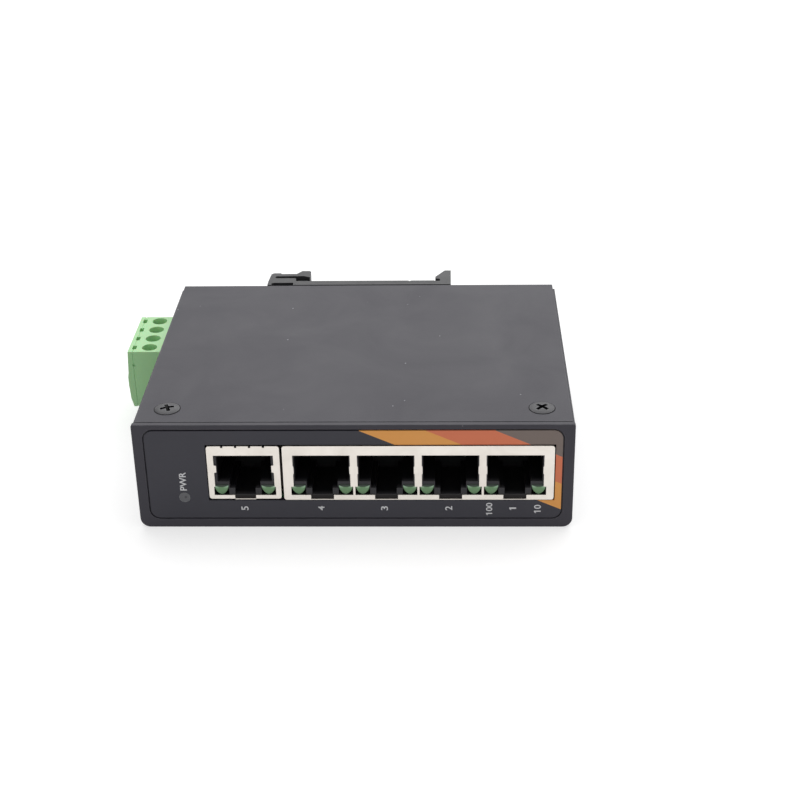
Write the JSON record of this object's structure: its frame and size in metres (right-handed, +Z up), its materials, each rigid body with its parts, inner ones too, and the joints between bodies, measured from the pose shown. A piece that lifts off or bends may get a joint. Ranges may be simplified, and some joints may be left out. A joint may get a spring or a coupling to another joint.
{
  "type": "din rail ethernet switch",
  "caption": "Slim charcoal metal network switch with a row of shielded jacks, a pull-off green screw terminal at one end and a spring clip for a 35 mm rail at its back.",
  "frame": {"origin": "middle of the case's flat underside, on which the switch lies", "axes": "+X along the ports away from the power plug, +Y from the ports to the rail clip, +Z up through the case's thickness"},
  "size_m": [0.1056, 0.0845, 0.026],
  "materials": {
    "charcoal_coat": "fine matt powder coat",
    "label_film": "satin printed film",
    "black_screw": "black oxide",
    "zinc_screw": "zinc plated",
    "tin_plate": "tin plated",
    "black_plastic": "moulded",
    "gold_contact": "gold plated",
    "green_lens": "translucent",
    "clear_lens": "translucent",
    "board_laminate": "solder mask",
    "ferrite": "ferrite",
    "capacitor_sleeve": "sleeved can",
    "surge_coat": "dipped coating",
    "green_plastic": "moulded, smooth",
    "clip_plastic": "moulded"
  },
  "bodies": {
    "case": {"base_tray": "charcoal_coat", "lid": "charcoal_coat", "front_panel": "charcoal_coat", "front_label": "label_film", "lid_screws": "black_screw", "clip_screws": "black_screw", "board_screws": "zinc_screw", "board_standoffs": "zinc_screw", "single_jack_shield": "tin_plate", "quad_jack_shield": "tin_plate", "single_jack_body": "black_plastic", "quad_jack_body": "black_plastic", "single_jack_contacts": "gold_contact", "quad_jack_contacts": "gold_contact", "single_jack_lamps": "green_lens", "quad_jack_lamps": "green_lens", "power_light_pipe": "clear_lens", "power_led": "clear_lens", "circuit_board": "board_laminate", "switch_chip": "black_plastic", "regulator": "black_plastic", "crystal": "tin_plate", "choke": "ferrite", "input_capacitor": "capacitor_sleeve", "output_capacitor": "capacitor_sleeve", "surge_disc": "surge_coat", "input_diode": "black_plastic", "power_header": "green_plastic", "header_pins": "tin_plate", "din_clip": "clip_plastic", "magnetics_1": "black_plastic", "magnetics_2": "black_plastic", "magnetics_3": "black_plastic", "magnetics_4": "black_plastic", "magnetics_5": "black_plastic"},
    "plug": {"plug_housing": "green_plastic", "plug_entry_cover": "green_plastic", "plug_contacts": "tin_plate"},
    "screw_1": {"clamp_screw_1": "zinc_screw"},
    "cage_1": {"clamp_cage_1": "zinc_screw"},
    "screw_2": {"clamp_screw_2": "zinc_screw"},
    "cage_2": {"clamp_cage_2": "zinc_screw"},
    "screw_3": {"clamp_screw_3": "zinc_screw"},
    "cage_3": {"clamp_cage_3": "zinc_screw"},
    "screw_4": {"clamp_screw_4": "zinc_screw"},
    "cage_4": {"clamp_cage_4": "zinc_screw"}
  },
  "joints": [
    {"name": "plug_slide", "type": "slide", "parent": "case", "child": "plug", "axis": [-1, 0, 0], "range_m": [0, 0.01]},
    {"name": "screw_1_turn", "type": "hinge", "parent": "plug", "child": "screw_1", "pos_m": [-0.0525, 0.01258, 0.0145], "axis": [0, 0, -1], "range_deg": [0, 1440]},
    {"name": "cage_1_rise", "type": "slide", "parent": "plug", "child": "cage_1", "axis": [0, 0, 1], "range_m": [0, 0.002]},
    {"name": "screw_2_turn", "type": "hinge", "parent": "plug", "child": "screw_2", "pos_m": [-0.0525, 0.01766, 0.0145], "axis": [0, 0, -1], "range_deg": [0, 1440]},
    {"name": "cage_2_rise", "type": "slide", "parent": "plug", "child": "cage_2", "axis": [0, 0, 1], "range_m": [0, 0.002]},
    {"name": "screw_3_turn", "type": "hinge", "parent": "plug", "child": "screw_3", "pos_m": [-0.0525, 0.02274, 0.0145], "axis": [0, 0, -1], "range_deg": [0, 1440]},
    {"name": "cage_3_rise", "type": "slide", "parent": "plug", "child": "cage_3", "axis": [0, 0, 1], "range_m": [0, 0.002]},
    {"name": "screw_4_turn", "type": "hinge", "parent": "plug", "child": "screw_4", "pos_m": [-0.0525, 0.02782, 0.0145], "axis": [0, 0, -1], "range_deg": [0, 1440]},
    {"name": "cage_4_rise", "type": "slide", "parent": "plug", "child": "cage_4", "axis": [0, 0, 1], "range_m": [0, 0.002]}
  ],
  "couplings": [
    {"joint": "screw_1_turn", "follows": "cage_1_rise", "rad_per_m": 12566},
    {"joint": "screw_2_turn", "follows": "cage_2_rise", "rad_per_m": 12566},
    {"joint": "screw_3_turn", "follows": "cage_3_rise", "rad_per_m": 12566},
    {"joint": "screw_4_turn", "follows": "cage_4_rise", "rad_per_m": 12566}
  ]
}
